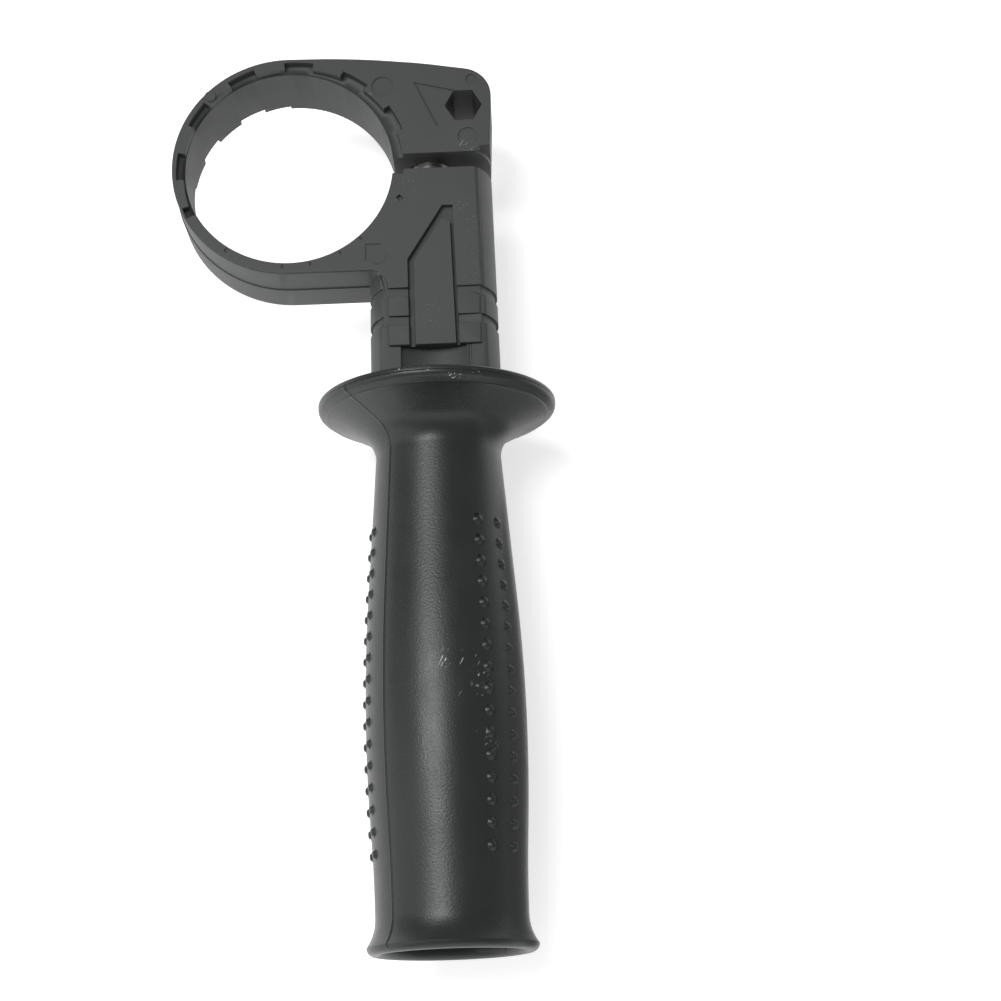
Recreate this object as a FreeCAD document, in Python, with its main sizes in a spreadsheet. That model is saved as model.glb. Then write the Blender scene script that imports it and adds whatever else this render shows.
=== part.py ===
import FreeCAD, Part
import math
import os
import Sketcher
from FreeCAD import Placement, Rotation, Vector

# Auxiliary side handle for a hand-held power tool: a one-piece split clamp ring with its lug and
# barrel, an M8 bolt whose head sits in the lug, and a hollow grip that screws onto the bolt and
# pulls the split shut.
# Frame, in millimetres: the origin is the middle of the clamp ring's bore, +Z runs along the bore,
# and +Y runs from the grip towards the lug, parallel to the handle's own axis.

doc = FreeCAD.newDocument("SideHandle")

# Driving dimensions: name, value, meaning
DIMENSIONS = (
    ("bore_radius", 22.4, "clamp ring, inside radius with the ring relaxed"),
    ("ring_wall", 2.65, "clamp ring, mean wall"),
    ("ring_bias", 0.2, "clamp ring, thicker at its top and thinner at its foot by this much"),
    ("back_growth", 0.25, "clamp ring, back half, larger in radius than the front half"),
    ("clamp_width", 18.0, "clamp ring and lug, thickness along the bore"),
    ("split_gap", 3.5, "split between lug and barrel"),
    ("handle_offset", 30.0, "bore axis to handle axis"),
    ("lug_bow", 200.0, "lug, radius of its bowed top edge"),
    ("lug_corner", 6.5, "lug, radius of the top corner"),
    ("lug_half_width", 13.9, "handle axis to the lug's side at its top corner"),
    ("lug_taper", 0.6, "lug, fall of its side towards the split"),
    ("lug_lip", 1.2, "lug, height of the rounded lip at its foot"),
    ("barrel_radius", 13.8, "barrel, outside radius at the grip"),
    ("barrel_draft", 0.5, "barrel, smaller radius at the split by this much"),
    ("barrel_reach", 50.4, "bore axis to the barrel's end"),
    ("face_step", 0.6, "raised faces above the barrel's flats"),
    ("face_half_width", 10.0, "raised faces, half width at the split and at their pads"),
    ("face_flare", 0.5, "raised faces, wider above their pads on the lug's side"),
    ("face_inset", 8.5, "barrel's end to the end of the raised faces"),
    ("heel_radius", 3.5, "fillet between ring and barrel, front half"),
    ("back_heel_radius", 1.2, "fillet between ring and barrel, back half"),
    ("edge_chamfer", 0.3, "chamfer of the outer edges"),
    ("recess_radius", 23.65, "toothed recess, radius between its notches"),
    ("recess_shift_x", 1.0, "toothed recess, centre off the bore axis"),
    ("recess_shift_y", -0.7, "toothed recess, centre off the bore axis"),
    ("recess_depth", 2.0, "toothed recess, depth along the bore"),
    ("notch_radius", 25.1, "toothed recess, radius to the notch floors"),
    ("notch_angle", 14.5, "notch, width in degrees"),
    ("notch_pitch", 30.0, "notch spacing in degrees"),
    ("first_notch", 26.5, "middle of the notch beside the split, degrees"),
    ("recess_start", -5.3, "toothed recess, end below the split, degrees"),
    ("recess_end", 205.0, "toothed recess, far end, degrees"),
    ("back_recess_start", 95.0, "shorter recess on the back, its start in degrees"),
    ("rod_hole_flats", 6.95, "hexagonal stop-rod hole, across flats"),
    ("rod_hole_side", 7.9, "handle axis to the stop-rod hole"),
    ("rod_hole_height", 12.7, "bore axis to the stop-rod hole, along the handle"),
    ("mark_depth", 0.3, "shallow marks that the mould's pins and lines leave"),
    ("big_pin_radius", 2.35, "pin mark between ring and lug"),
    ("big_pin_x", 20.55, "its middle"),
    ("big_pin_y", 17.75, "its middle"),
    ("foot_pin_radius", 2.1, "pin mark under the stop-rod hole"),
    ("foot_pin_x", 38.6, "its middle"),
    ("foot_pin_y", 5.25, "its middle"),
    ("corner_pin_radius", 1.15, "pin mark in the lug's corner"),
    ("corner_pin_x", 39.8, "its middle"),
    ("corner_pin_y", 18.8, "its middle"),
    ("flat_pin_radius", 2.35, "pin mark with a flat side, by the heel"),
    ("flat_pin_x", 18.35, "its middle"),
    ("flat_pin_y", -21.05, "its middle"),
    ("nick_length", 0.8, "nicks beside the bore, length"),
    ("notch_x", 23.65, "small deep notch by the bore, its middle"),
    ("notch_y", -8.4, "its middle"),
    ("notch_width", 1.0, "its width"),
    ("notch_depth", 0.9, "its depth"),
    ("line_tip_x", 27.6, "styling line, its tip"),
    ("line_tip_y", 18.3, "styling line, its tip"),
    ("line_foot_x", 32.15, "styling line, its lower end"),
    ("line_foot_y", 8.0, "styling line, its lower end"),
    ("line_width", 0.35, "styling line beside the stop-rod hole, width"),
    ("pin_boss_radius", 1.2, "small round boss on the ring"),
    ("pin_boss_height", 0.55, "small round boss on the ring"),
    ("pin_boss_reach", 23.75, "bore axis to the boss"),
    ("pin_boss_turn", 134.7, "direction of the boss, degrees"),
    ("bolt_radius", 4.0, "M8 bolt, shank"),
    ("bolt_clearance", 0.3, "bolt hole, radial clearance"),
    ("head_flats", 13.0, "bolt head, across flats"),
    ("head_height", 5.3, "bolt head"),
    ("head_seat", 17.3, "bore axis to the bolt head's seat"),
    ("head_clearance", 0.2, "bolt head pocket, clearance at each flat"),
    ("slot_depth", 1.3, "slots beside the bolt, depth"),
    ("slot_inset", 4.4, "left slot, handle axis to its middle"),
    ("slot_width", 1.1, "left slot, width"),
    ("thin_slot_inset", 5.1, "right slot, handle axis to its middle at its foot"),
    ("thin_slot_lean", 0.6, "right slot, nearer the handle axis at its tip"),
    ("thin_slot_width", 0.7, "right slot, width"),
    ("slot_run", 19.3, "left slot, end of the raised faces to its bend"),
    ("slot_tip", 10.5, "slots, bore axis to their upper tip"),
    ("slot_spread", 3.7, "slots, upper tip to the face between them"),
    ("window_half_width", 6.9, "recess above the flange, half width"),
    ("window_floor", 5.7, "recess above the flange, handle axis to its deepest line"),
    ("window_hollow", 13.1, "recess above the flange, radius of its hollow floor"),
    ("window_groove", 0.6, "grooves along both sides of that recess, width"),
    ("band_width", 2.0, "grip bands round the barrel, width"),
    ("band_depth", 0.55, "grip bands round the barrel, depth"),
    ("upper_pad", 12.9, "end of the raised faces to the top of the upper band"),
    ("lower_pad", 6.6, "end of the raised faces to the top of the lower band"),
    ("washer_radius", 12.0, "thrust washer, outside"),
    ("washer_hole", 4.2, "thrust washer, hole radius"),
    ("washer_thickness", 1.6, "thrust washer"),
    ("flange_radius", 25.0, "grip flange"),
    ("rim_thickness", 3.1, "grip flange, width of the rim"),
    ("hub_radius", 14.0, "grip, seat for the washer"),
    ("dish_depth", 1.0, "grip flange, dish round the seat"),
    ("flange_slope", 28.4, "grip flange, slope of its underside in degrees"),
    ("neck_radius", 13.1, "grip, neck"),
    ("neck_fillet", 3.5, "grip, fillet between flange and neck"),
    ("belly_radius", 16.33, "grip, thickest place"),
    ("belly_share", 0.608, "grip seat to the thickest place, share of the grip's length"),
    ("flank_fall", 6.6, "grip, fall of its bowed flank from the thickest place to the seat"),
    ("waist_radius", 15.25, "grip, narrowing before the end bead"),
    ("waist_inset", 7.3, "open end to that narrowing"),
    ("flare_radius", 9.7, "grip, fillet from that narrowing to the end bead"),
    ("bead_radius", 17.1, "grip, end bead"),
    ("grip_length", 114.3, "grip seat to the open end"),
    ("mouth_radius", 13.9, "grip hollow, at the open end"),
    ("lip_chamfer", 0.9, "grip, both edges of its open end"),
    ("hollow_radius", 10.5, "grip hollow, at its inner end"),
    ("hollow_drop", 31.0, "grip seat to the hollow's inner end"),
    ("bush_radius", 6.5, "threaded bush, outside"),
    ("bush_length", 22.0, "threaded bush"),
    ("bush_drop", 2.0, "grip seat to the bush"),
    ("bolt_tip_inset", 3.3, "bush's inner end to the bolt's tip"),
    ("thread_play", 0.06, "bush bore, radial clearance on the bolt"),
)

sheet = doc.addObject("Spreadsheet::Sheet", "Sizes")
sheet.set("A1", "dimension")
sheet.set("B1", "value")
sheet.set("C1", "meaning")
for row, (name, value, meaning) in enumerate(DIMENSIONS, start=2):
    sheet.set(f"A{row}", name)
    sheet.set(f"B{row}", str(value))
    sheet.set(f"C{row}", meaning)
    sheet.setAlias(f"B{row}", name)
doc.recompute()


def size(name):
    return float(sheet.get(name))


# Places that several pieces share
RING_RADIUS = size("bore_radius") + size("ring_wall")
RING_CENTRE = (0.0, size("ring_bias"))
FACE_END = size("face_inset") - size("barrel_reach")
BANDS = (FACE_END + size("upper_pad"), FACE_END + size("lower_pad"))
AXIS_X = size("handle_offset")
HALF_WIDTH = size("clamp_width") / 2
CORE_HALF = HALF_WIDTH - size("face_step")
SEAT_Y = -size("barrel_reach") - size("washer_thickness")


def at_angle(radius, degrees, centre=(0.0, 0.0)):
    turn = math.radians(degrees)
    return (centre[0] + radius * math.cos(turn), centre[1] + radius * math.sin(turn))


def new_body(label):
    body = doc.addObject("PartDesign::Body", label)
    body.Label = label
    return body


def new_sketch(body, name, plane="XY_Plane", shift=(0, 0, 0)):
    """A sketch on one of the body's own planes, shifted in that plane's directions."""
    sketch = body.newObject("Sketcher::SketchObject", name)
    base = next(item for item in body.Origin.OriginFeatures if item.Role == plane)
    sketch.AttachmentSupport = [(base, "")]
    sketch.MapMode = "FlatFace"
    sketch.AttachmentOffset = Placement(Vector(*shift), Rotation())
    return sketch


def add_outline(sketch, start, steps):
    """Closed outline. A step is an end point, or a pair: a point on the arc, then its end."""
    here = Vector(*start, 0)
    for step in steps:
        if isinstance(step[0], tuple):
            middle, end = (Vector(*point, 0) for point in step)
            sketch.addGeometry(Part.Arc(here, middle, end))
        else:
            end = Vector(*step, 0)
            sketch.addGeometry(Part.LineSegment(here, end))
        here = end


def add_circle(sketch, expression, centre=(0.0, 0.0)):
    """A circle whose radius is driven by the sheet."""
    index = sketch.addGeometry(Part.Circle(Vector(*centre, 0), Vector(0, 0, 1), 1.0))
    number = sketch.addConstraint(Sketcher.Constraint("Radius", index, 1.0))
    sketch.setExpression(f"Constraints[{number}]", expression)


def add_hexagon(sketch, flats, centre=(0.0, 0.0), turn=0.0):
    corners = [at_angle(flats / math.sqrt(3), turn + 60 * side, centre) for side in range(6)]
    add_outline(sketch, corners[0], corners[1:] + corners[:1])


def add_rectangle(sketch, low, high):
    add_outline(sketch, low, [(high[0], low[1]), high, (low[0], high[1]), low])


def pad(body, sketch, name, expression, midplane=False, reverse=False):
    feature = body.newObject("PartDesign::Pad", name)
    feature.Profile = sketch
    feature.Midplane = midplane
    feature.Reversed = reverse
    feature.setExpression("Length", expression)
    doc.recompute()
    return feature


def pocket(body, sketch, name, expression, midplane=False, reverse=False):
    """A cut that has to take something away."""
    before = body.Shape.Volume
    feature = body.newObject("PartDesign::Pocket", name)
    feature.Profile = sketch
    feature.Midplane = midplane
    feature.Reversed = reverse
    feature.setExpression("Length", expression)
    doc.recompute()
    if not body.Shape.Volume < before:
        raise RuntimeError(f"{name} cuts nothing")
    return feature


def mirror_front_to_back(body, feature, name):
    mirrored = body.newObject("PartDesign::Mirrored", name)
    mirrored.Originals = [feature]
    plane = next(item for item in body.Origin.OriginFeatures if item.Role == "XY_Plane")
    mirrored.MirrorPlane = (plane, [""])
    body.Tip = mirrored
    doc.recompute()
    return mirrored


def chamfer_edges(body, base, name, expression, chosen):
    names = [f"Edge{number}" for number, edge in enumerate(base.Shape.Edges, start=1) if chosen(edge)]
    chamfer = body.newObject("PartDesign::Chamfer", name)
    chamfer.Base = (base, names)
    chamfer.setExpression("Size", expression)
    doc.recompute()
    return chamfer


def plate_outline(sketch, heel, growth=0.0):
    """Front view of ring, lug and raised face in one closed outline."""
    corner = size("lug_corner")
    bow = size("lug_bow")
    side = AXIS_X + size("lug_half_width")
    lip_top = size("split_gap") / 2 + size("lug_lip")
    right = AXIS_X + size("face_half_width")
    left = AXIS_X - size("face_half_width") + size("face_step")
    ring_radius = RING_RADIUS + growth
    foot = RING_CENTRE[1] - ring_radius

    # the bowed top edge leaves the ring at its highest point and ends in the corner arc
    ring_top = (0.0, ring_radius + RING_CENTRE[1])
    bow_centre = (0.0, ring_top[1] - bow)
    corner_x = side - corner
    corner_centre = (corner_x, bow_centre[1] + math.sqrt((bow - corner) ** 2 - corner_x ** 2))
    turn = math.degrees(math.atan2(corner_centre[1] - bow_centre[1], corner_x))
    heel_centre = (left - heel, foot - heel)
    add_outline(sketch, ring_top, [
        (at_angle(bow, (90 + turn) / 2, bow_centre), at_angle(bow, turn, bow_centre)),
        (at_angle(corner, turn / 2, corner_centre), at_angle(corner, 0, corner_centre)),
        (side - size("lug_taper"), lip_top),
        (right + size("lug_lip"), lip_top),
        (right, size("split_gap") / 2),
        (right, -size("split_gap") / 2),
        (right + size("face_flare"), BANDS[0]),
        (right, BANDS[0]),
        (right, FACE_END),
        (left, FACE_END),
        (left, heel_centre[1]),
        (at_angle(heel, 45, heel_centre), (heel_centre[0], foot)),
        (0.0, foot),
        (at_angle(ring_radius, 180, RING_CENTRE), ring_top),
    ])


def barrel_section(sketch, radius):
    """Round section with front and back flats. Sketch X is the handle's X, sketch Y is Z."""
    half = math.sqrt(radius ** 2 - CORE_HALF ** 2)
    add_outline(sketch, (-half, CORE_HALF), [
        (half, CORE_HALF),
        ((radius, 0.0), (half, -CORE_HALF)),
        (-half, -CORE_HALF),
        ((-radius, 0.0), (-half, CORE_HALF)),
    ])


def toothed_recess(sketch, start):
    """Recess beside the bore from one angle on, cut back into square notches at an even pitch."""
    centre = (size("recess_shift_x"), size("recess_shift_y"))
    low = size("recess_radius")
    high = size("notch_radius")
    inner = size("bore_radius") - 1.5 * size("ring_wall")
    half = size("notch_angle") / 2
    finish = size("recess_end")
    steps = []
    here = start
    middle = size("first_notch")
    while middle - half <= start:
        middle += size("notch_pitch")
    while middle - half < finish:
        opens, closes = middle - half, min(middle + half, finish)
        steps.append((at_angle(low, (here + opens) / 2, centre), at_angle(low, opens, centre)))
        steps.append(at_angle(high, opens, centre))
        steps.append((at_angle(high, (opens + closes) / 2, centre), at_angle(high, closes, centre)))
        here = closes
        if closes < finish:
            steps.append(at_angle(low, closes, centre))
        middle += size("notch_pitch")
    if here < finish:
        steps.append((at_angle(low, (here + finish) / 2, centre), at_angle(low, finish, centre)))
    steps.append(at_angle(inner, finish, centre))
    steps.append((at_angle(inner, (start + finish) / 2, centre), at_angle(inner, start, centre)))
    steps.append(at_angle(low, start, centre))
    add_outline(sketch, at_angle(low, start, centre), steps)


def core_slots(sketch):
    """Narrow slots on both sides of the handle's axis that meet at their tips. The left one's foot
    runs on down the left side of the recess above the flange."""
    wide = size("slot_width")
    thin = size("thin_slot_width")
    left = AXIS_X - size("slot_inset") - wide / 2
    right = AXIS_X + size("thin_slot_inset") - thin / 2
    right_tip = right - size("thin_slot_lean")
    knee = FACE_END + size("slot_run")
    tip = -size("slot_tip")
    groove = size("window_groove")
    side = AXIS_X - size("window_half_width")
    beyond = -size("barrel_reach") - groove
    tip_x = right_tip - 2 * thin
    lean = math.atan2(tip - knee, tip_x - left)

    # the face between the slots ends in a blunt point below their common tip
    point_drop = size("slot_spread")
    point_x = right_tip + size("thin_slot_lean") * point_drop / (tip - FACE_END)
    shoulder = (tip_x - thin / 2, tip - 0.75 * point_drop)
    add_outline(sketch, (left, FACE_END), [
        (left, knee),
        (tip_x, tip),
        (right_tip + thin, tip),
        (right + thin, FACE_END),
        (right, FACE_END),
        (point_x, tip - point_drop),
        shoulder,
        (left + wide, knee - wide * math.tan((math.pi / 2 - lean) / 2)),
        (left + wide, FACE_END),
        (side + groove, FACE_END - 2 * groove),
        (side + groove, beyond),
        (side, beyond),
        (side, FACE_END - groove),
        (left, FACE_END),
    ])


def bent_stroke(sketch, start, bend, end, width):
    """A narrow band along two lines that meet, mitred where they do."""
    normals = []
    for first, second in ((start, bend), (bend, end)):
        length = math.dist(first, second)
        normals.append(((first[1] - second[1]) / length, (second[0] - first[0]) / length))
    grow = 1 + normals[0][0] * normals[1][0] + normals[0][1] * normals[1][1]
    mitre = tuple((one + other) / grow for one, other in zip(*normals))
    sides = []
    for side in (width / 2, -width / 2):
        sides.append([
            (point[0] + side * normal[0], point[1] + side * normal[1])
            for point, normal in ((start, normals[0]), (bend, mitre), (end, normals[1]))
        ])
    corners = sides[0] + sides[1][::-1]
    add_outline(sketch, corners[0], corners[1:] + corners[:1])


def nick(sketch, radius, degrees, width):
    """A short radial nick across a radius of the ring's front face."""
    long = size("nick_length") / 2
    points = [at_angle(radius + out, degrees) for out in (-long, 0, long)]
    bent_stroke(sketch, *points, width)


def place(name):
    return (size(f"{name}_x"), size(f"{name}_y"))


def face_marks(sketch):
    """What the mould leaves on the front face: pin marks, one cut flat, and nicks by the bore."""
    for pin in ("big_pin", "foot_pin", "corner_pin"):
        add_circle(sketch, f"Sizes.{pin}_radius", place(pin))

    radius = size("flat_pin_radius")
    x, y = place("flat_pin")
    left = x - 0.96 * radius
    top = y + 0.96 * radius
    low = y - 0.7 * radius
    add_outline(sketch, (left, low), [
        (left, top),
        (x + 0.2 * radius, top),
        ((x + radius, y), (x + 0.12 * radius, y - radius)),
        (left, low),
    ])

    edge = size("bore_radius") + size("nick_length")
    for degrees, width in ((-125.1, 0.7), (-93.6, 0.4), (-79.0, 0.3), (-62.3, 0.3), (-48.8, 0.3)):
        nick(sketch, edge, degrees, width)


def deep_notch(sketch):
    """A slanted notch, deeper than the marks round it."""
    middle = place("notch")
    reach = 0.6 * size("notch_width")
    ends = [at_angle(turn * reach, -51.5, middle) for turn in (-1, 0, 1)]
    bent_stroke(sketch, *ends, size("notch_width"))


def styling_line(sketch):
    """One thin line round the tip of a triangle that points away from the stop-rod hole."""
    hole = (AXIS_X + size("rod_hole_side"), size("rod_hole_height"))
    corner = at_angle(size("rod_hole_flats") / math.sqrt(3), 120, hole)
    bent_stroke(sketch, corner, place("line_tip"), place("line_foot"), size("line_width"))


def window_section(sketch):
    """Hollow-floored recess over the flange. Sketch X is the handle's X, sketch Y is Z."""
    half = size("window_half_width")
    hollow = size("window_hollow")
    floor = size("window_floor")
    edge = floor + hollow - math.sqrt(hollow ** 2 - half ** 2)
    top = size("barrel_radius") + floor
    add_outline(sketch, (-half, edge), [
        ((0.0, floor), (half, edge)),
        (half, top),
        (-half, top),
        (-half, edge),
    ])


def make_clamp_body():
    """Ring, lug and barrel are one moulding."""
    body = new_body("clamp_body")
    front = new_sketch(body, "FrontOutline")
    plate_outline(front, size("heel_radius"))
    pad(body, front, "FrontHalf", "Sizes.clamp_width / 2")
    rear = new_sketch(body, "RearOutline")
    plate_outline(rear, size("back_heel_radius"), size("back_growth"))
    plate = pad(body, rear, "RearHalf", "Sizes.clamp_width / 2", reverse=True)
    chamfer_edges(
        body, plate, "PlateEdges", "Sizes.edge_chamfer",
        lambda edge: abs(abs(edge.CenterOfMass.z) - HALF_WIDTH) < 1e-6,
    )

    lip_top = size("split_gap") / 2 + size("lug_lip")
    narrow = new_sketch(body, "BarrelTop", "XZ_Plane", (AXIS_X, 0, -lip_top))
    barrel_section(narrow, size("barrel_radius") - size("barrel_draft"))
    wide = new_sketch(body, "BarrelFoot", "XZ_Plane", (AXIS_X, 0, size("barrel_reach")))
    barrel_section(wide, size("barrel_radius"))
    barrel = body.newObject("PartDesign::AdditiveLoft", "Barrel")
    barrel.Profile = narrow
    barrel.Sections = [wide]
    barrel.Ruled = True
    doc.recompute()

    bore = new_sketch(body, "BoreCircle")
    add_circle(bore, "Sizes.bore_radius")
    pocket(body, bore, "Bore", "2 * Sizes.clamp_width", midplane=True)

    recess = new_sketch(body, "RecessOutline", shift=(0, 0, HALF_WIDTH))
    toothed_recess(recess, size("recess_start"))
    pocket(body, recess, "ToothedRecess", "Sizes.recess_depth")
    back = new_sketch(body, "BackRecessOutline", shift=(0, 0, -HALF_WIDTH))
    toothed_recess(back, size("back_recess_start"))
    pocket(body, back, "BackRecess", "Sizes.recess_depth", reverse=True)

    split = new_sketch(body, "SplitOutline")
    gap = size("split_gap") / 2
    add_rectangle(split, (size("bore_radius") / 2, -gap), (AXIS_X + 2 * size("barrel_radius"), gap))
    pocket(body, split, "Split", "2 * Sizes.clamp_width", midplane=True)

    hexagon = new_sketch(body, "RodHoleHexagon")
    rod_centre = (AXIS_X + size("rod_hole_side"), size("rod_hole_height"))
    add_hexagon(hexagon, size("rod_hole_flats"), rod_centre)
    pocket(body, hexagon, "RodHole", "2 * Sizes.clamp_width", midplane=True)

    slots = new_sketch(body, "SlotOutlines", shift=(0, 0, HALF_WIDTH))
    core_slots(slots)
    pocket(body, slots, "CoreSlots", "Sizes.slot_depth")

    marks = new_sketch(body, "FaceMarkOutlines", shift=(0, 0, HALF_WIDTH))
    face_marks(marks)
    pocket(body, marks, "FaceMarks", "Sizes.mark_depth")
    line = new_sketch(body, "StylingLine", shift=(0, 0, HALF_WIDTH))
    styling_line(line)
    pocket(body, line, "StylingCut", "Sizes.mark_depth")
    notch = new_sketch(body, "NotchOutline", shift=(0, 0, HALF_WIDTH))
    deep_notch(notch)
    pocket(body, notch, "DeepNotch", "Sizes.notch_depth")
    boss = new_sketch(body, "PinBossCircle", shift=(0, 0, HALF_WIDTH - size("recess_depth")))
    add_circle(boss, "Sizes.pin_boss_radius", at_angle(size("pin_boss_reach"), size("pin_boss_turn")))
    pad(body, boss, "PinBoss", "Sizes.recess_depth + Sizes.pin_boss_height")

    window = new_sketch(body, "WindowSection", "XZ_Plane", (AXIS_X, 0, -FACE_END))
    window_section(window)
    pocket(body, window, "Window", "Sizes.barrel_reach", reverse=True)
    rib = new_sketch(body, "RibGrooveOutline", shift=(0, 0, HALF_WIDTH))
    inner = AXIS_X + size("window_half_width") + size("line_width")
    outer = inner + size("window_groove")
    add_rectangle(rib, (inner, -2 * size("barrel_reach")), (outer, FACE_END))
    pocket(body, rib, "RibGroove", "Sizes.face_step + Sizes.mark_depth")

    bands = new_sketch(body, "BandSections", shift=(AXIS_X, 0, 0))
    bottom = size("barrel_radius") - size("barrel_draft") / 3 - size("band_depth")
    for level in BANDS:
        low = (bottom, level - size("band_width"))
        add_rectangle(bands, low, (bottom + size("barrel_radius"), level))
    groove = body.newObject("PartDesign::Groove", "Bands")
    groove.Profile = bands
    groove.ReferenceAxis = (bands, ["V_Axis"])
    groove.Angle = 360
    doc.recompute()

    channels = new_sketch(body, "ChannelOutlines", shift=(0, 0, HALF_WIDTH))
    reach = size("face_half_width") + size("face_flare")
    for level in BANDS:
        for start, end in ((-reach, -size("slot_inset")), (size("thin_slot_inset"), reach)):
            low = (AXIS_X + start, level - size("band_width"))
            add_rectangle(channels, low, (AXIS_X + end, level))
    cut = pocket(body, channels, "Channels", "Sizes.face_step")
    mirror_front_to_back(body, cut, "ChannelsBack")

    shaft = new_sketch(body, "BoltHoleCircle", "XZ_Plane", (AXIS_X, 0, 0))
    add_circle(shaft, "Sizes.bolt_radius + Sizes.bolt_clearance")
    pocket(body, shaft, "BoltHole", "4 * Sizes.barrel_reach", midplane=True)

    head = new_sketch(body, "HeadPocketHexagon", "XZ_Plane", (AXIS_X, 0, -size("head_seat")))
    add_hexagon(head, size("head_flats") + 2 * size("head_clearance"), turn=30)
    pocket(body, head, "HeadPocket", "Sizes.barrel_reach")
    return body


def make_bolt():
    """Hexagon bolt, its head held from turning by the pocket in the lug."""
    body = new_body("clamp_bolt")
    flats = new_sketch(body, "HeadHexagon", "XZ_Plane", (AXIS_X, 0, -size("head_seat")))
    add_hexagon(flats, size("head_flats"), turn=30)
    pad(body, flats, "Head", "Sizes.head_height", reverse=True)
    circle = new_sketch(body, "ShankCircle", "XZ_Plane", (AXIS_X, 0, -size("head_seat")))
    add_circle(circle, "Sizes.bolt_radius")
    through_clamp = "Sizes.head_seat + Sizes.barrel_reach + Sizes.washer_thickness"
    into_bush = "Sizes.bush_drop + Sizes.bush_length - Sizes.bolt_tip_inset"
    pad(body, circle, "Shank", f"{through_clamp} + {into_bush}")
    return body


def make_washer():
    """Steel washer that the grip turns against."""
    body = new_body("thrust_washer")
    rings = new_sketch(body, "WasherCircles", "XZ_Plane", (AXIS_X, 0, size("barrel_reach")))
    add_circle(rings, "Sizes.washer_radius")
    add_circle(rings, "Sizes.washer_hole")
    pad(body, rings, "Washer", "Sizes.washer_thickness")
    return body


def make_bush():
    """Threaded bush moulded into the grip."""
    body = new_body("threaded_bush")
    rings = new_sketch(body, "BushCircles", "XZ_Plane", (AXIS_X, 0, -SEAT_Y + size("bush_drop")))
    add_circle(rings, "Sizes.bush_radius")
    add_circle(rings, "Sizes.bolt_radius + Sizes.thread_play")
    pad(body, rings, "Bush", "Sizes.bush_length")
    return body


def polyline(sketch, points):
    for start, end in zip(points, points[1:]):
        sketch.addGeometry(Part.LineSegment(Vector(*start, 0), Vector(*end, 0)))


def arc(sketch, start, middle, end):
    sketch.addGeometry(Part.Arc(Vector(*start, 0), Vector(*middle, 0), Vector(*end, 0)))


def grip_profile(sketch):
    """Half section of the grip. Sketch X is the radius, sketch Y runs along the handle."""
    hole = size("bolt_radius") + size("bolt_clearance")
    rim = size("rim_thickness")
    flange = size("flange_radius")
    hub = size("hub_radius")
    dish = size("dish_depth")
    neck = size("neck_radius")
    fillet = size("neck_fillet")
    slope = math.radians(size("flange_slope"))

    # the underside would meet the neck at this point if the fillet were left out
    corner = SEAT_Y - rim - (flange - neck) * math.tan(slope)
    setback = fillet * math.tan((math.pi / 2 - slope) / 2)
    fillet_centre = (neck + fillet, corner - setback)
    fillet_top = (neck + setback * math.cos(slope), corner + setback * math.sin(slope))
    fillet_middle = at_angle(fillet, 135 + size("flange_slope") / 2, fillet_centre)
    neck_top = (neck, corner - setback)
    polyline(sketch, [
        (hole, SEAT_Y),
        (hub, SEAT_Y),
        (hub + dish, SEAT_Y - dish),
        (flange - rim - dish, SEAT_Y - dish),
        (flange - rim, SEAT_Y),
        (flange, SEAT_Y),
        (flange, SEAT_Y - rim),
        fillet_top,
    ])
    arc(sketch, fillet_top, fillet_middle, neck_top)

    # cone, convex bow over the belly, hollow bow to the waist and flare to the bead, all tangent
    belly = size("belly_radius")
    end = SEAT_Y - size("grip_length")
    belly_drop = size("belly_share") * size("grip_length")
    belly_y = SEAT_Y - belly_drop
    bow = belly_drop ** 2 / (2 * size("flank_fall"))
    waist = (size("waist_radius"), end + size("waist_inset"))
    bow_centre = (belly - bow, belly_y)
    reach = math.hypot(neck_top[0] - bow_centre[0], neck_top[1] - belly_y)
    view = math.degrees(math.atan2(neck_top[1] - belly_y, neck_top[0] - bow_centre[0]))
    touch = view - math.degrees(math.acos(bow / reach))
    cone_end = at_angle(bow, touch, bow_centre)
    fall = belly - waist[0]
    drop = belly_y - waist[1]
    both_bows = (fall ** 2 + drop ** 2) / (2 * fall)
    turn = math.degrees(math.asin(drop / both_bows))
    crossing = at_angle(bow, -turn, bow_centre)
    hollow_centre = (waist[0] + both_bows - bow, waist[1])
    polyline(sketch, [neck_top, cone_end])
    arc(sketch, cone_end, (belly, belly_y), crossing)
    arc(sketch, crossing, at_angle(both_bows - bow, 180 - turn / 2, hollow_centre), waist)

    flare = size("flare_radius")
    flare_centre = (waist[0] + flare, waist[1])
    sweep = math.degrees(math.acos((flare_centre[0] - size("bead_radius")) / flare))
    bead = at_angle(flare, 180 + sweep, flare_centre)
    mouth = (size("mouth_radius"), bead[1])
    arc(sketch, waist, at_angle(flare, 180 + sweep / 2, flare_centre), bead)

    inner = SEAT_Y - size("hollow_drop")
    bush_top = SEAT_Y - size("bush_drop")
    bush_foot = bush_top - size("bush_length")
    bush = size("bush_radius")
    polyline(sketch, [
        bead,
        (bead[0] - size("lip_chamfer"), end),
        (mouth[0] + size("lip_chamfer"), end),
        mouth,
        (size("hollow_radius"), inner),
        (0.0, inner),
        (0.0, bush_foot),
        (bush, bush_foot),
        (bush, bush_top),
        (hole, bush_top),
        (hole, SEAT_Y),
    ])


def make_grip():
    """Flange, grip and end bead are one hollow moulding."""
    body = new_body("grip")
    sketch = new_sketch(body, "GripProfile", shift=(AXIS_X, 0, 0))
    grip_profile(sketch)
    revolve = body.newObject("PartDesign::Revolution", "GripTurned")
    revolve.Profile = sketch
    revolve.ReferenceAxis = (sketch, ["V_Axis"])
    revolve.Angle = 360
    doc.recompute()
    return body


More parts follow.
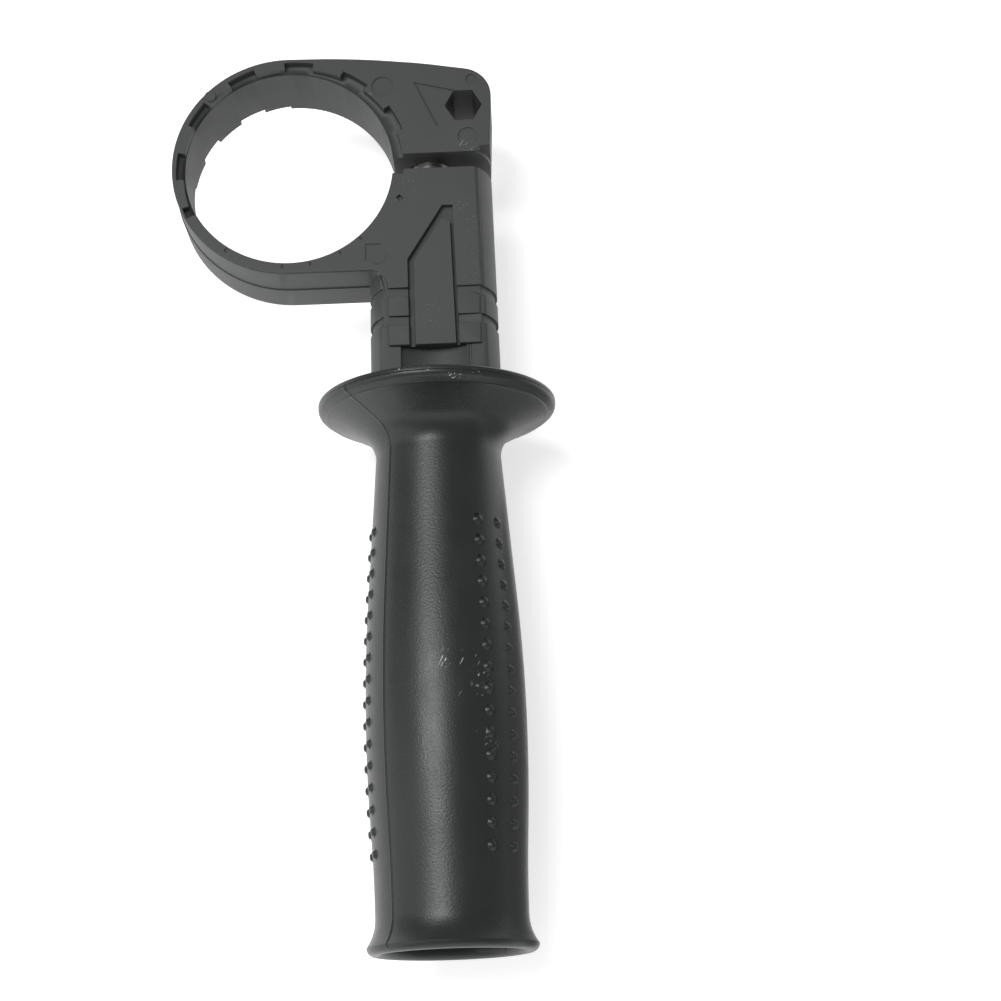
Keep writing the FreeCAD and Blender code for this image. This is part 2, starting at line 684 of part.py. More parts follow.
def check(body):
    for item in [body] + list(body.Group):
        if {"Invalid", "Error"} & set(item.State):
            raise RuntimeError(f"{body.Label}: {item.Name} is {item.State}")
    shape = body.Shape
    if shape.isNull() or not shape.isValid() or len(shape.Solids) != 1:
        raise RuntimeError(f"{body.Label}: shape is not one valid solid")


bodies = [make_clamp_body(), make_bolt(), make_washer(), make_bush(), make_grip()]
doc.recompute()
os.makedirs("parts", exist_ok=True)
for body in bodies:
    check(body)
for body in bodies:
    body.Shape.exportStep(f"parts/{body.Label}.step")
    box = body.Shape.BoundBox
    print(body.Label, "volume", round(body.Shape.Volume), "mm3, faces", len(body.Shape.Faces),
          "box", [round(value, 1) for value in (box.XMin, box.XMax, box.YMin, box.YMax, box.ZMin, box.ZMax)])
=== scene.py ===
import math

import bpy
from mathutils import Matrix, Vector


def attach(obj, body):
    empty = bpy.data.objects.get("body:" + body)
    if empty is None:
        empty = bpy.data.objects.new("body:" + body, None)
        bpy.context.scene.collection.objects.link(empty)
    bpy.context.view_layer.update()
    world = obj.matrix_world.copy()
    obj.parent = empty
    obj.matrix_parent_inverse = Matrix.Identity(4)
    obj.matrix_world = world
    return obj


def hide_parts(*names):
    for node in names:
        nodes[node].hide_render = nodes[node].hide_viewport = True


# Looks of the side handle: clamp ring with lug and barrel, bolt, washer, bush and grip.
# The scene is in metres and the dictionaries in millimetres and degrees.
# The handle's own axis runs along Y at x = 30 mm, and +Y points from the grip to the lug.

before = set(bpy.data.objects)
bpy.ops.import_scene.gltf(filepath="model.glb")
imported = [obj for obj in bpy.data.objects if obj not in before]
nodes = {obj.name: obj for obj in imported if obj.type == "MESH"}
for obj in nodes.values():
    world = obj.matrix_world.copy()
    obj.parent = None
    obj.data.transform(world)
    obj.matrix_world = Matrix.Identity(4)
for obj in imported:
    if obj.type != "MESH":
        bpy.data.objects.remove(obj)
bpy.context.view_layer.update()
mm = 0.001
axisX = 30 * mm
seatY = -52 * mm  # where the grip meets the washer


class Wire:  # one socket of a material, so that shader maths reads as Python
    def __init__(self, finish, socket):
        self.finish = finish
        self.socket = socket

    def maths(self, operation, *values):
        numbered = dict(enumerate(values))
        return self.finish.add("ShaderNodeMath", {"operation": operation}, numbered)

    def __add__(self, other):
        return self.maths("ADD", self, other)

    def __radd__(self, other):
        return self.maths("ADD", other, self)

    def __sub__(self, other):
        return self.maths("SUBTRACT", self, other)

    def __rsub__(self, other):
        return self.maths("SUBTRACT", other, self)

    def __mul__(self, other):
        return self.maths("MULTIPLY", self, other)

    def __rmul__(self, other):
        return self.maths("MULTIPLY", other, self)

    def top(self, other):
        return self.maths("MAXIMUM", self, other)

    def rise(self, low, high):  # 0 below low, 1 above high, eased between
        return self.finish.add(
            "ShaderNodeMapRange", {"interpolation_type": "SMOOTHSTEP"},
            {"Value": self, "From Min": low, "From Max": high},
        )


class Finish:  # a material whose nodes are added in code
    def __init__(self, name):
        self.material = bpy.data.materials.new(name)
        self.material.use_nodes = True
        self.tree = self.material.node_tree
        self.shader = self.tree.nodes["Principled BSDF"]

    def add(self, kind, settings, values, output=0):
        node = self.tree.nodes.new(kind)
        for name, value in settings.items():
            setattr(node, name, value)
        for name, value in values.items():
            self.feed(node.inputs[name], value)
        return Wire(self, node.outputs[output])

    def feed(self, socket, value):
        if isinstance(value, Wire):
            self.tree.links.new(value.socket, socket)
        elif socket.type == "RGBA" and len(value) == 3:
            socket.default_value = (*value, 1)
        else:
            socket.default_value = value

    def set(self, **values):
        for name, value in values.items():
            self.feed(self.shader.inputs[name.replace("_", " ")], value)

    def place(self):
        return self.add("ShaderNodeTexCoord", {}, {}, "Object")

    def stretched(self, vector, scale):
        return self.add("ShaderNodeMapping", {}, {"Vector": vector, "Scale": scale})

    def noise(self, vector, scale, detail, roughness=0.5):
        return self.add(
            "ShaderNodeTexNoise", {},
            {"Vector": vector, "Scale": scale, "Detail": detail, "Roughness": roughness},
        )

    def mix(self, share, first, second):
        return self.add(
            "ShaderNodeMix", {"data_type": "RGBA"}, {0: share, 6: first, 7: second}, 2,
        )

    def bump(self, height, distance, strength):
        return self.add(
            "ShaderNodeBump", {},
            {"Height": height, "Distance": distance * mm, "Strength": strength},
        )

    def blots(self, place, look):  # loose specks or patches
        return self.noise(place, look["scale"], look["detail"]).rise(look["from"], look["to"])

    def strokes(self, place, look):  # short scratches that lean from the handle's axis
        size = (look["width"] * mm, look["length"] * mm, look["width"] * mm)
        leaning = self.add(
            "ShaderNodeMapping", {"vector_type": "TEXTURE"},
            {"Vector": place, "Rotation": (0, 0, look["lean"]), "Scale": size},
        )
        return self.noise(leaning, 1.0, 2.0).rise(look["from"], look["to"])

    def near(self, place, spots):  # 1 at the middle of any spot, 0 from its radius on
        found = None
        for x, y, z, radius in spots:
            middle = (x * mm, y * mm, z * mm)
            away = self.add(
                "ShaderNodeVectorMath", {"operation": "DISTANCE"}, {0: place, 1: middle}, "Value",
            )
            spot = 1 - away.rise(0.3 * radius * mm, radius * mm)
            found = spot if found is None else found.top(spot)
        return found


def makeClampFinish():
    look = {
        "dark": (0.029, 0.032, 0.031), "pale": (0.043, 0.047, 0.046), "dust": (0.22, 0.22, 0.21),
        "grain": 4300, "grainHeight": 0.07, "grainStrength": 0.6,
        "mottle": 140, "roughness": 0.55, "roughnessSpread": 0.12,
        "scratches": {"width": 0.35, "length": 2.2, "lean": -0.7, "from": 0.60, "to": 0.68},
        "scuffs": [  # x, y, z and radius of each rubbed place; the last, small one is a painted highlight on the lit lower-left rim of the recessed round mark
            (37.3, 3.7, 9.0, 1.6), (39.2, 3.0, 9.0, 1.5), (37.6, 6.2, 9.0, 1.4),
            # painted highlight: a pale spot on the lit lower-left rim of the recessed round mark,
            # not a scuff
            (18.1, 16.2, 8.9, 0.7),
        ],
        "flecks": {"scale": 3100, "detail": 0.0, "from": 0.75, "to": 0.80}, "fleckShare": 0.6,
        "specks": [  # x, y, z and radius of each dusty place
            (37.3, -11.4, 9.0, 4.5), (39.9, -14.8, 9.0, 5.0), (38.6, -23.4, 9.0, 5.5),
            (29.4, -35.2, 9.0, 4.5), (26.4, -5.0, 9.0, 4.0),
        ],
    }
    finish = Finish("clampPlastic")
    place = finish.place()
    grain = finish.noise(place, look["grain"], 2.0)
    mottle = finish.noise(place, look["mottle"], 4.0)
    # pale scratches at the rubbed places, and at one small spot a painted highlight on a lit
    # recess rim
    scuffed = finish.near(place, look["scuffs"]) * finish.strokes(place, look["scratches"])
    flecks = finish.blots(place, look["flecks"])
    specked = finish.near(place, look["specks"]) * flecks * look["fleckShare"]
    colour = finish.mix(mottle, look["dark"], look["pale"])
    finish.set(
        # the dust colour also paints that highlight on the recess rim
        Base_Color=finish.mix(scuffed.top(specked), colour, look["dust"]),
        Roughness=look["roughness"] + look["roughnessSpread"] * (mottle - 0.5),
        Normal=finish.bump(grain, look["grainHeight"], look["grainStrength"]),
    )
    return finish.material


def makeGripFinish():
    look = {
        "dark": (0.0050, 0.0061, 0.0056), "pale": (0.0130, 0.0148, 0.0138),
        "dust": (0.50, 0.50, 0.48), "shine": (0.95, 1.0, 0.975),
        "grain": 2400, "grainHeight": 0.06, "grainStrength": 0.7,
        "mottle": 110, "rubbing": (260, 70, 260),
        "roughness": 0.36, "mottleSpread": 0.14, "rubbingSpread": 0.16, "grainSpread": 0.12,
        "patches": {"scale": 520, "detail": 1.0, "from": 0.46, "to": 0.60},
        "crumbs": {"scale": 2300, "detail": 1.0, "from": 0.62, "to": 0.70},
        "scuffs": [  # x, y, z and radius of each rubbed place on the rim
            (34.6, -54.4, 24.6, 2.2), (38.0, -53.9, 23.7, 2.4), (41.2, -53.1, 22.4, 2.0),
            (28.6, -52.6, 25.0, 1.8), (24.2, -52.8, 24.3, 2.0), (28.3, -57.4, 21.4, 1.3),
        ],
        "scratches": {"width": 0.34, "length": 2.8, "lean": -0.45, "from": 0.64, "to": 0.71},
        "scratchShare": 0.9,
        "scrapes": [  # x, y, z and radius of each scraped place on the grip
            (30.4, -110.2, 15.8, 2.6), (32.4, -116.6, 15.7, 1.8), (35.1, -110.6, 15.0, 3.0),
            (37.4, -112.9, 14.0, 2.4), (36.8, -117.0, 14.2, 3.0), (37.3, -125.5, 14.0, 2.4),
            (38.8, -127.3, 13.1, 2.2), (28.9, -64.6, 15.0, 1.6),
        ],
    }
    finish = Finish("gripPlastic")
    place = finish.place()
    grain = finish.noise(place, look["grain"], 2.0)
    mottle = finish.noise(place, look["mottle"], 5.0, 0.6)
    rubbed = finish.noise(finish.stretched(place, look["rubbing"]), 1.0, 5.0, 0.65)
    patches = finish.blots(place, look["patches"])
    crumbs = finish.blots(place, look["crumbs"]) * patches
    scuffed = finish.near(place, look["scuffs"]) * crumbs
    scratches = finish.strokes(place, look["scratches"])
    scraped = finish.near(place, look["scrapes"]) * scratches * look["scratchShare"]
    colour = finish.mix(mottle, look["dark"], look["pale"])
    roughness = look["roughness"] + look["mottleSpread"] * (mottle - 0.5)
    roughness = roughness + look["rubbingSpread"] * (rubbed - 0.5)
    roughness = roughness + look["grainSpread"] * (grain - 0.5)
    finish.set(
        Base_Color=finish.mix(scuffed.top(scraped), colour, look["dust"]),
        Specular_Tint=look["shine"],
        Roughness=roughness,
        Normal=finish.bump(grain, look["grainHeight"], look["grainStrength"]),
    )
    return finish.material


def makeMetalFinish(name, colour, roughness):
    look = {"smear": 700, "stain": 0.72, "spread": 0.2}
    finish = Finish(name)
    smear = finish.noise(finish.place(), look["smear"], 4.0, 0.6)
    stained = finish.mix(smear, colour, [look["stain"] * channel for channel in colour])
    finish.set(
        Metallic=1.0, Base_Color=stained,
        Roughness=roughness + look["spread"] * (smear - 0.5),
    )
    return finish.material


def coat(piece, material):
    piece.data.materials.clear()
    piece.data.materials.append(material)


def openEdit():  # goes into edit mode with everything selected
    bpy.ops.object.mode_set(mode="EDIT")
    bpy.ops.mesh.select_all(action="SELECT")


def closeEdit():  # leaves edit mode with every face pointing outwards
    bpy.ops.mesh.select_all(action="SELECT")
    bpy.ops.mesh.normals_make_consistent(inside=False)
    bpy.ops.object.mode_set(mode="OBJECT")


def raiseSelection(step):
    bpy.ops.mesh.extrude_region_move(TRANSFORM_OT_translate={"value": step})


def placeMesh():  # moves the object's place into its mesh
    bpy.ops.object.transform_apply(location=True, rotation=True, scale=True)


def addDisc(name, sides, radius, place, turn):  # left in edit mode, ready to be extruded
    bpy.ops.object.select_all(action="DESELECT")
    bpy.ops.mesh.primitive_circle_add(
        vertices=sides, radius=radius * mm, fill_type="NGON", location=place, rotation=turn)
    disc = bpy.context.active_object
    disc.name = name
    placeMesh()
    openEdit()
    return disc


def joinTo(piece, others):
    bpy.ops.object.select_all(action="DESELECT")
    for other in others:
        other.select_set(True)
    piece.select_set(True)
    bpy.context.view_layer.objects.active = piece
    bpy.ops.object.join()


def selectPlaces(piece, wanted):  # picks the vertices for which wanted(place) is true
    bpy.ops.object.mode_set(mode="OBJECT")
    mesh = piece.data
    for group in (mesh.polygons, mesh.edges, mesh.vertices):
        group.foreach_set("select", [False] * len(group))
    for vertex in mesh.vertices:
        vertex.select = wanted(vertex.co)
    bpy.ops.object.mode_set(mode="EDIT")
    bpy.ops.mesh.select_mode(type="VERT")


def mergedCopy(name, node, kept):  # a closed copy of a CAD node, with its flat faces whole again
    look = {"weld": 0.002, "flat": 1.5}
    bpy.ops.object.select_all(action="DESELECT")
    piece = nodes[node].copy()
    piece.data = nodes[node].data.copy()
    piece.name = name
    bpy.context.scene.collection.objects.link(piece)
    piece.select_set(True)
    bpy.context.view_layer.objects.active = piece
    openEdit()
    bpy.ops.mesh.remove_doubles(threshold=look["weld"] * mm)
    bpy.ops.mesh.select_mode(type="FACE")
    bpy.ops.object.mode_set(mode="OBJECT")
    for face in piece.data.polygons:
        face.select = not kept(face.center / mm)
    bpy.ops.object.mode_set(mode="EDIT")
    bpy.ops.mesh.dissolve_limited(angle_limit=math.radians(look["flat"]))
    bpy.ops.object.mode_set(mode="OBJECT")
    return piece


def soften(piece, width, sharpness, chosen):  # rounds the sharp edges whose middle is chosen
    bpy.context.view_layer.objects.active = piece
    bpy.ops.object.mode_set(mode="EDIT")
    bpy.ops.mesh.select_mode(type="EDGE")
    bpy.ops.mesh.select_all(action="DESELECT")
    bpy.ops.mesh.edges_select_sharp(sharpness=math.radians(sharpness))
    bpy.ops.object.mode_set(mode="OBJECT")
    places = piece.data.vertices
    for edge in piece.data.edges:
        if edge.select:
            ends = [places[index].co / mm for index in edge.vertices]
            edge.select = chosen((ends[0] + ends[1]) / 2)
    bpy.ops.object.mode_set(mode="EDIT")
    bpy.ops.mesh.bevel(
        offset=width * mm, segments=2, affect="EDGES", clamp_overlap=False, harden_normals=False)
    bpy.ops.object.mode_set(mode="OBJECT")


def evenShade(piece):  # large flat faces keep their own shade right up to the rounded edges
    weighted = piece.modifiers.new("evenShade", "WEIGHTED_NORMAL")
    weighted.mode = "FACE_AREA"
    weighted.weight = 100
    weighted.keep_sharp = True
    bpy.ops.object.select_all(action="DESELECT")
    piece.select_set(True)
    bpy.context.view_layer.objects.active = piece
    bpy.ops.object.modifier_apply(modifier="evenShade")


def makeClamp():
    look = {
        "round": 0.22, "fineRound": 0.09, "sharpness": 55, "smooth": 60,
        "front": 7.4, "halfFront": 10.0,  # the barrel's raised front and back
        "top": -9.5, "foot": -50.0, "ringReach": 26.5,
        "ledge": 7.0, "ledgeReach": 23.0,  # the ring's recess, whose ledge is too narrow to round
        "floorPlay": 0.02, "ledgePlay": 0.1,
    }

    def isFloor(place):
        return abs(abs(place.z) - look["ledge"]) < look["floorPlay"]

    def isLedge(place):
        level = abs(abs(place.z) - look["ledge"]) < look["ledgePlay"]
        return level and math.hypot(place.x, place.y) < look["ledgeReach"]

    def isBarrel(place):
        clearOfRing = math.hypot(place.x, place.y) > look["ringReach"]
        inFront = abs(place.z) > look["front"] or abs(place.x - axisX / mm) < look["halfFront"]
        return clearOfRing and inFront and look["foot"] < place.y < look["top"]

    def isFine(place):
        return not isBarrel(place) and not isLedge(place)

    clamp = mergedCopy("clamp_moulding", "clamp_body", isFloor)
    soften(clamp, look["fineRound"], look["sharpness"], isFine)
    soften(clamp, look["round"], look["sharpness"], isBarrel)
    bpy.ops.object.shade_smooth_by_angle(angle=math.radians(look["smooth"]))
    evenShade(clamp)
    return clamp


def arcStations(centre, radius, start, end, steps):  # degrees, 0 away from the axis, 90 to the lug
    angles = [math.radians(start + (end - start) * step / steps) for step in range(steps + 1)]
    return [(centre[0] + radius * math.cos(a), centre[1] + radius * math.sin(a)) for a in angles]


def turnPiece(name, stations, sides):  # stations: radius, and height above the grip's seat
    firstRadius, firstHeight = stations[0]
    middle = (axisX, seatY + firstHeight * mm, 0)
    piece = addDisc(name, sides, firstRadius, middle, (math.pi / 2, 0, 0))
    for here, there in zip(stations, stations[1:]):
        share = there[0] / here[0]
        raiseSelection((0, (there[1] - here[1]) * mm, 0))
        middle = (axisX, seatY + there[1] * mm, 0)
        bpy.ops.transform.resize(value=(share, 1, share), center_override=middle)
    closeEdit()
    return piece


gripShape = {
    "sides": 96, "length": 114.3, "smooth": 35,
    "flange": 25.0, "rim": 2.0, "rimRound": 0.6, "rimBend": 1.3,
    "groove": 1.1, "grooveDepth": 0.12,  # fine parting groove around the rim
    "creaseAt": 23.1, "crease": 0.15,  # where the rim meets the flange's cone
    "hub": 14.0, "dish": 1.0, "slope": 28.4, "neck": 13.1, "neckFillet": 6.5,
    "belly": 16.33, "bellyDrop": 69.49, "flankFall": 6.6, "waist": 15.25, "waistInset": 7.3,
    "flare": 9.7, "bead": 17.1, "mouth": 13.9, "hollow": 10.5, "hollowDrop": 31.0,
    "boltHole": 4.3, "bush": 6.5, "bushTop": 2.0, "bushFoot": 24.0,
    "seam": -47, "seamHeight": 0.20, "seamWidth": 0.18, "seamPlay": 0.01,
    "seamReach": 12.9, "seamInset": 1.0,
}


def gripFlank():  # from the flange's cone down to the bead, every curve running on into the next
    look = gripShape
    slope = math.radians(look["slope"])
    neck, fillet = look["neck"], look["neckFillet"]
    corner = -look["rim"] - (look["flange"] - neck) * math.tan(slope)
    setback = fillet * math.tan((math.pi / 2 - slope) / 2)
    stations = arcStations((neck + fillet, corner - setback), fillet, 90 + look["slope"], 180, 8)

    belly, bellyY = look["belly"], -look["bellyDrop"]
    bow = bellyY ** 2 / (2 * look["flankFall"])
    bowMiddle = (belly - bow, bellyY)
    away = (neck - bowMiddle[0], stations[-1][1] - bellyY)
    view = math.degrees(math.atan2(away[1], away[0]))
    touch = view - math.degrees(math.acos(bow / math.hypot(*away)))
    waist, waistY = look["waist"], look["waistInset"] - look["length"]
    fall, drop = belly - waist, bellyY - waistY
    bothBows = (fall ** 2 + drop ** 2) / (2 * fall)
    turn = math.degrees(math.asin(drop / bothBows))
    stations += arcStations(bowMiddle, bow, touch, -turn, 22)

    hollow = bothBows - bow
    stations += arcStations((waist + hollow, waistY), hollow, 180 - turn, 180, 8)[1:]
    flare = look["flare"]
    sweep = math.degrees(math.acos((waist + flare - look["bead"]) / flare))
    stations += arcStations((waist + flare, waistY), flare, 180, 180 + sweep, 8)[1:]
    return stations


def makeGrip():  # turned from the bush's seat outwards over the flange, down and into the hollow
    look = gripShape
    flange, rim, bend, lowBend = look["flange"], look["rim"], look["rimRound"], look["rimBend"]
    groove, depth = look["groove"], look["grooveDepth"]
    slope = look["slope"]
    tip = lowBend * math.tan(math.radians((90 - slope) / 2))
    creaseAt, crease = look["creaseAt"], look["crease"]
    creaseY = -rim - (flange - creaseAt) * math.tan(math.radians(slope))
    lip = (look["bead"] - look["mouth"]) / 2
    flank = gripFlank()
    stations = [
        (look["bush"], -look["bushFoot"]),
        (look["bush"], -look["bushTop"]),
        (look["boltHole"], -look["bushTop"]),
        (look["boltHole"], 0),
        (look["hub"], 0),
        (look["hub"] + look["dish"], -look["dish"]),
        (flange - rim - look["dish"], -look["dish"]),
        (flange - rim, 0),
        *arcStations((flange - bend, -bend), bend, 90, 0, 5),
        (flange, -groove + depth),
        (flange - depth, -groove),
        (flange, -groove - depth),
        *arcStations((flange - lowBend, -rim + tip), lowBend, 0, -90 + slope, 6),
        (creaseAt + 1.5 * crease, creaseY + 0.8 * crease),
        (creaseAt + crease, creaseY - 0.6 * crease),
        (creaseAt - 4 * crease, creaseY - 2.2 * crease),
        *flank,
        *arcStations((look["bead"] - lip, flank[-1][1]), lip, 0, -180, 10)[1:],
        (look["hollow"], -look["hollowDrop"]),
    ]
    grip = turnPiece("grip_moulding", stations, look["sides"])
    bpy.ops.object.shade_smooth_by_angle(angle=math.radians(look["smooth"]))
    return grip


def raiseSeam(grip):  # the two mould halves meet along a fine ridge on both sides
    look = gripShape
    turn = math.radians(look["seam"])
    outward = Vector((math.sin(turn), 0, math.cos(turn)))
    across = Vector((math.cos(turn), 0, -math.sin(turn)))
    middle = Vector((axisX, 0, 0))
    bpy.context.view_layer.objects.active = grip
    for shift in (-look["seamWidth"], 0, look["seamWidth"]):
        openEdit()
        bpy.ops.mesh.bisect(plane_co=middle + across * shift * mm, plane_no=across)
    top = seatY - look["groove"] * mm
    foot = seatY - (look["length"] - look["seamInset"]) * mm
    for side in (1, -1):
        def onRidge(co):
            away = co - middle
            inLine = abs(away.dot(across)) < look["seamPlay"] * mm
            outside = math.hypot(away.x, away.z) > look["seamReach"] * mm
            onSide = away.dot(outward) * side > 0
            return inLine and outside and onSide and foot < co.y < top
        selectPlaces(grip, onRidge)
        bpy.ops.transform.translate(value=outward * side * look["seamHeight"] * mm)
    bpy.ops.object.mode_set(mode="OBJECT")


def makeNub(look):  # one nub, standing on the origin along Z
    radius, level = look["rings"][0][0], -look["root"]
    nub = addDisc("nub", look["sides"], radius, (0, 0, level * mm), (0, 0, 0))
    for wide, high in look["rings"]:
        raiseSelection((0, 0, (high - level) * mm))
        share = wide / radius
        bpy.ops.transform.resize(value=(share, share, 1), center_override=(0, 0, high * mm))
        radius, level = wide, high
    closeEdit()
    bpy.ops.object.shade_smooth()
    return nub


def flankAt(flank, drop):  # the grip's radius and lean at a height
    for above, below in zip(flank, flank[1:]):
        if above[1] >= drop > below[1]:
            share = (above[1] - drop) / (above[1] - below[1])
            reach = above[0] + (below[0] - above[0]) * share
            return reach, math.atan2(below[0] - above[0], above[1] - below[1])


def addNubs(grip):
    look = {
        "rings": ((1.25, 0.0), (0.84, 0.12), (0.7728, 0.32), (0.588, 0.49), (0.2856, 0.56)),
        "root": 0.25, "sides": 14,
        "columns": (34, 56, -71, -88.5, 154, 176),  # degrees from the front
        "rows": 16, "first": 28.9, "last": 94.8,  # below the grip's seat
    }
    flank = gripFlank()
    nub = makeNub(look)
    copies = []
    for column in look["columns"]:
        turn = math.radians(column)
        for row in range(look["rows"]):
            drop = -look["first"] - (look["last"] - look["first"]) * row / (look["rows"] - 1)
            reach, lean = flankAt(flank, drop)
            copy = nub.copy()
            copy.data = nub.data.copy()
            bpy.context.scene.collection.objects.link(copy)
            spin = Matrix.Rotation(turn, 4, "Y") @ Matrix.Rotation(-lean, 4, "X")
            x, z = math.sin(turn) * reach, math.cos(turn) * reach
            spot = Vector((axisX + x * mm, seatY + drop * mm, z * mm))
            copy.matrix_world = Matrix.Translation(spot) @ spin
            copies.append(copy)
    bpy.data.objects.remove(nub)
    joinTo(grip, copies)


boltShape = {
    "seat": 17.3, "tip": -72.7, "sides": 48, "smooth": 35,
    "core": 3.3, "crest": 3.97, "pitch": 1.25, "steps": 24,
    "ridgeRoot": 0.2, "ridgeFlat": (0.42, 0.58),  # the ridge's crest, as shares of the pitch
    "plain": 3.0, "runOut": 0.5, "neck": 0.4, "tipChamfer": 0.7,
    "flats": 13.0, "head": 5.3, "headChamfer": 0.6, "headTaper": 0.97,
}


def makeShank():
    look = boltShape
    core, crest = look["core"], look["crest"]
    seat, tip = look["seat"] - seatY / mm, look["tip"] - seatY / mm
    stations = [
        (core - look["tipChamfer"], tip),
        (core, tip + look["tipChamfer"]),
        (core, seat - look["plain"]),
        (crest, seat - look["plain"] + look["runOut"]),
        (crest, seat + look["neck"]),
    ]
    return turnPiece("bolt_turned", stations, look["sides"])


def makeThread():  # one ridge, wound up the shank
    look = boltShape
    pitch, root, crest = look["pitch"], look["core"] - look["ridgeRoot"], look["crest"]
    low = look["tip"] + look["tipChamfer"]
    turns = int((look["seat"] - look["plain"] - low) / pitch)
    bpy.ops.object.select_all(action="DESELECT")
    bpy.ops.mesh.primitive_plane_add(size=1)
    ridge = bpy.context.active_object
    ridge.name = "thread"
    start, end = look["ridgeFlat"]
    corners = [(root, 0.0), (root, pitch), (crest, end * pitch), (crest, start * pitch)]
    order = list(ridge.data.polygons[0].vertices)
    for index, (radius, rise) in zip(order, corners):
        ridge.data.vertices[index].co = (radius * mm, 0, rise * mm)
    openEdit()
    bpy.ops.mesh.delete(type="ONLY_FACE")
    bpy.ops.object.mode_set(mode="OBJECT")
    screw = ridge.modifiers.new("wind", "SCREW")
    screw.axis = "Z"
    screw.screw_offset = pitch * mm
    screw.iterations = turns - 1
    screw.steps = look["steps"]
    screw.render_steps = look["steps"]
    bpy.ops.object.modifier_apply(modifier="wind")
    openEdit()
    bpy.ops.mesh.fill_holes(sides=4)
    closeEdit()
    place = Matrix.Translation((axisX, low * mm, 0))
    ridge.matrix_world = place @ Matrix.Rotation(-math.pi / 2, 4, "X")
    placeMesh()
    return ridge


def makeHead():  # a round blank, chamfered on top, whose sides are then drawn out to a hexagon
    look = boltShape
    seat, height, chamfer = look["seat"], look["head"], look["headChamfer"]
    middle = (axisX, seat * mm, 0)
    head = addDisc("head", look["sides"], look["flats"] / 2, middle, (math.pi / 2, 0, 0))
    raiseSelection((0, (height - chamfer) * mm, 0))
    raiseSelection((0, chamfer * mm, 0))
    taper = (look["headTaper"], 1, look["headTaper"])
    bpy.ops.transform.resize(value=taper, center_override=(axisX, (seat + height) * mm, 0))
    bpy.ops.object.mode_set(mode="OBJECT")
    for vertex in head.data.vertices:
        if vertex.co.y < (seat + height - chamfer / 2) * mm:
            turn = math.atan2(vertex.co.z, vertex.co.x - axisX)
            fromFlat = (turn - math.pi / 6) % (math.pi / 3) - math.pi / 6
            grow = 1 / math.cos(fromFlat)
            vertex.co.x = axisX + (vertex.co.x - axisX) * grow
            vertex.co.z *= grow
    bpy.ops.object.mode_set(mode="EDIT")
    closeEdit()
    return head


def makeBolt():
    bolt = makeShank()
    ridge = makeThread()
    head = makeHead()
    joinTo(bolt, (ridge, head))
    bpy.ops.object.shade_smooth_by_angle(angle=math.radians(boltShape["smooth"]))
    return bolt


def makeCamera():  # the photograph's own viewpoint, fitted to the ring, the flange and the bead
    look = {
        "from": (44.116 * mm, -198.884 * mm, 432.256 * mm),
        "along": (-0.00328, 0.27791, -0.96060),
        "up": (0.03907, 0.95991, 0.27758),
        "lens": 77.6, "sensor": 36,
    }
    data = bpy.data.cameras.new("photoCamera")
    data.lens = look["lens"]
    data.sensor_width = look["sensor"]
    camera = bpy.data.objects.new("photoCamera", data)
    bpy.context.scene.collection.objects.link(camera)
    back = -Vector(look["along"]).normalized()
    right = Vector(look["up"]).cross(back).normalized()
    up = back.cross(right)
    turn = Matrix((right, up, back)).transposed()
    camera.matrix_world = Matrix.Translation(look["from"]) @ turn.to_4x4()
    bpy.context.scene.camera = camera


def makeFloor():
    look = {"top": -25.2, "size": 30.0, "colour": (0.90, 0.90, 0.90), "glow": 0.5}
    bpy.ops.object.select_all(action="DESELECT")
    bpy.ops.mesh.primitive_plane_add(
        size=look["size"], location=(axisX, -70 * mm, look["top"] * mm))
    floor = bpy.context.active_object
    floor.name = "floor"
    finish = Finish("paperFloor")
    finish.set(
        Base_Color=look["colour"], Roughness=0.9, Specular_IOR_Level=0.1,
        Emission_Color=(1, 1, 1), Emission_Strength=look["glow"],
    )
    coat(floor, finish.material)


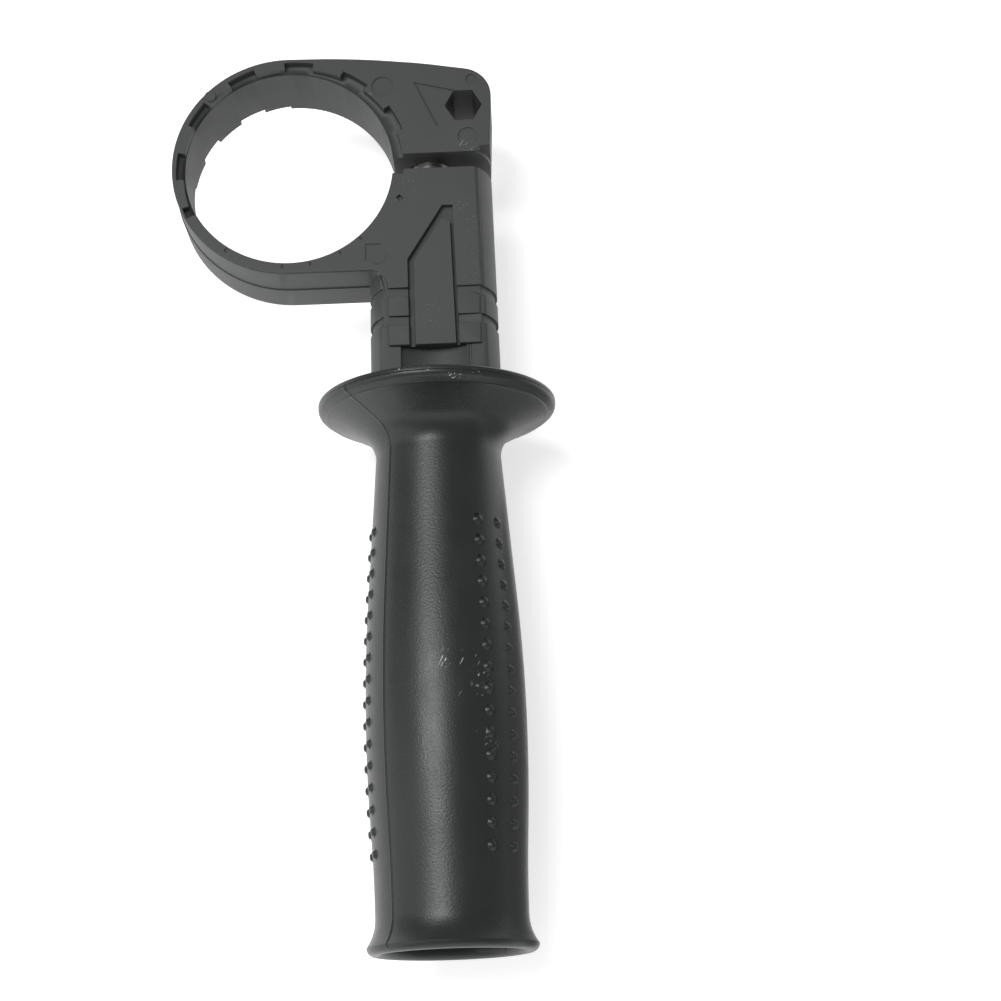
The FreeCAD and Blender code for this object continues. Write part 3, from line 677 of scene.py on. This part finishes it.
def makeCard():  # a grey card that only reflections see, to keep the grip's right flank dark
    look = {"middle": (0.26, -0.128, -0.0249), "size": (0.40, 0.130), "shade": 0.36}
    bpy.ops.object.select_all(action="DESELECT")
    bpy.ops.mesh.primitive_plane_add(size=1, location=look["middle"])
    card = bpy.context.active_object
    card.name = "greyCard"
    card.scale = (*look["size"], 1)
    placeMesh()
    finish = Finish("greyCard")
    finish.set(
        Base_Color=(0, 0, 0), Specular_IOR_Level=0.0,
        Emission_Color=(look["shade"], look["shade"], look["shade"]), Emission_Strength=1.0,
    )
    coat(card, finish.material)
    for ray in ("camera", "diffuse", "shadow", "transmission", "volume_scatter"):
        setattr(card, "visible_" + ray, False)


def makeLights():
    look = {
        "air": 0.46, "aim": (axisX, -60 * mm, 0),
        "softboxes": {  # place, size and power
            "softboxAbove": ((-0.33, 0.09, 1.13), (0.42, 0.62), 7.8),
            "softboxLeft": ((-1.2, -0.4, 0.5), (1.2, 1.5), 5.0),
            "softboxNear": ((0.0, -1.4, 0.4), (1.6, 0.8), 3.5),
        },
    }
    world = bpy.data.worlds.new("studio")
    bpy.context.scene.world = world
    world.use_nodes = True
    air = world.node_tree.nodes["Background"]
    air.inputs["Color"].default_value = (1, 1, 1, 1)
    air.inputs["Strength"].default_value = look["air"]
    for name, (place, size, power) in look["softboxes"].items():
        data = bpy.data.lights.new(name, "AREA")
        data.shape = "RECTANGLE"
        data.size, data.size_y = size
        data.energy = power
        light = bpy.data.objects.new(name, data)
        bpy.context.scene.collection.objects.link(light)
        facing = (Vector(look["aim"]) - Vector(place)).to_track_quat("-Z", "Y")
        light.matrix_world = Matrix.Translation(place) @ facing.to_matrix().to_4x4()
    bpy.context.scene.view_settings.view_transform = "Standard"


print("materials, washer and bush")
clampFinish = makeClampFinish()
gripFinish = makeGripFinish()
steelFinish = makeMetalFinish("platedSteel", (0.62, 0.61, 0.58), 0.3)
brassFinish = makeMetalFinish("brass", (0.72, 0.53, 0.25), 0.35)
coat(nodes["thrust_washer"], steelFinish)
coat(nodes["threaded_bush"], brassFinish)

print("clamp")
clamp = makeClamp()
coat(clamp, clampFinish)
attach(clamp, "clamp")
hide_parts("clamp_body")

print("bolt")
bolt = makeBolt()
coat(bolt, steelFinish)
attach(bolt, "bolt")
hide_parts("clamp_bolt")

print("grip")
grip = makeGrip()
raiseSeam(grip)
addNubs(grip)
coat(grip, gripFinish)
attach(grip, "handle")
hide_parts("grip")

print("studio and camera")
makeFloor()
makeCard()
makeLights()
makeCamera()
